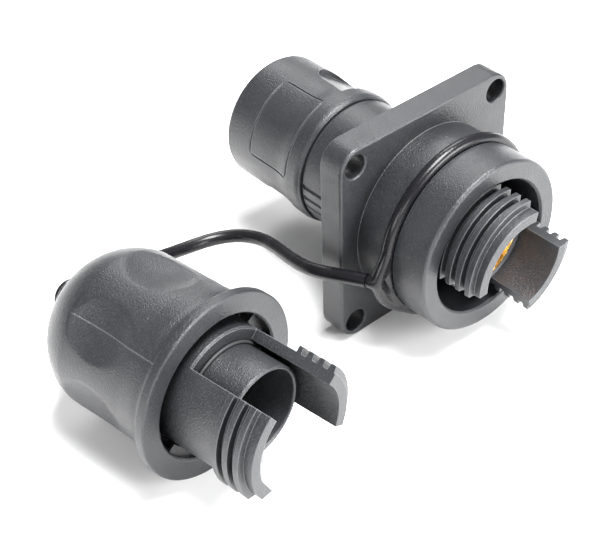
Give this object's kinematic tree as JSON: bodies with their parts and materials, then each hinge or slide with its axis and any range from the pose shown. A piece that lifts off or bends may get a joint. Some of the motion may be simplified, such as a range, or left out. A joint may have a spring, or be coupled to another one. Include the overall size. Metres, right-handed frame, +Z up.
{
  "type": "panel-mount power connector with tethered cap",
  "caption": "Square-flanged panel receptacle with two threaded mating jaws round a gold socket, a cable gland behind, and a screw-on sealing cap on a rubber tether.",
  "frame": {"origin": "on the receptacle's axis in the plane of the flange's rear face, which seats on the panel; the centre of the four bolt holes", "axes": "-Y is the mating direction, away from the panel; +Z up and +X right for someone facing the mating side; the cap lies beside it at -X"},
  "size_m": [0.09, 0.0665, 0.04],
  "materials": {
    "housing": "satin, finely grained glass-filled polyamide",
    "insulator": "satin glass-filled polyamide, a little lighter",
    "cage": "satin",
    "slip_plastic": "satin acetal",
    "seal_rubber": "satin",
    "tether_rubber": "glossy moulded rubber",
    "gold_contact": "bright gold plate",
    "spring_steel": "bright"
  },
  "bodies": {
    "receptacle": {"flange_housing": "housing", "panel_seal": "seal_rubber", "jaw_insert": "insulator", "insert_snap_ring": "spring_steel", "interface_seal": "seal_rubber", "socket_contact": "gold_contact", "contact_lock_ring": "spring_steel", "louvre_band": "gold_contact", "touch_guard": "insulator", "rear_seal_ring": "seal_rubber", "gland_bush": "seal_rubber", "gland_cage": "cage"},
    "gland_slide": {"slip_washer": "slip_plastic"},
    "back_shell": {"back_shell": "housing"},
    "tether": {"tether_loop": "tether_rubber", "tether_strand": "tether_rubber", "tether_eyelet": "tether_rubber"},
    "cap_grip": {"cap_grip_shell": "housing", "cap_snap_ring": "spring_steel", "cap_button": "tether_rubber"},
    "cap_slide": {"cap_slip_ring": "slip_plastic"},
    "cap_carrier": {"cap_carrier": "insulator", "cap_nose": "insulator", "cap_nose_screw": "spring_steel", "cap_nose_seal": "seal_rubber", "cap_shaft_seal": "seal_rubber"}
  },
  "joints": [
    {"name": "back_shell_travel", "type": "slide", "parent": "receptacle", "child": "gland_slide", "axis": [0, 1, 0], "range_m": [0, 0.00301]},
    {"name": "back_shell_turn", "type": "hinge", "parent": "gland_slide", "child": "back_shell", "pos_m": [0, 0.025, 0], "axis": [0, 1, 0], "range_deg": [0, 720]},
    {"name": "tether_swing", "type": "hinge", "parent": "receptacle", "child": "tether", "pos_m": [0, -0.01215, 0], "axis": [0, -1, 0], "range_deg": [-20, 5]},
    {"name": "cap_swivel", "type": "hinge", "parent": "tether", "child": "cap_grip", "pos_m": [-0.05751, 0.02041, -0.0035], "axis": [0.1319, -0.9913, 0], "continuous": true},
    {"name": "cap_draw_in", "type": "slide", "parent": "cap_grip", "child": "cap_slide", "axis": [-0.1319, 0.9913, 0], "range_m": [0, 0.008]},
    {"name": "carrier_turn", "type": "hinge", "parent": "cap_slide", "child": "cap_carrier", "pos_m": [-0.0531, -0.0127, -0.0035], "axis": [0.1319, -0.9913, 0], "continuous": true}
  ],
  "couplings": [
    {"joint": "back_shell_travel", "follows": "back_shell_turn", "m_per_rad": 0.00023873}
  ]
}
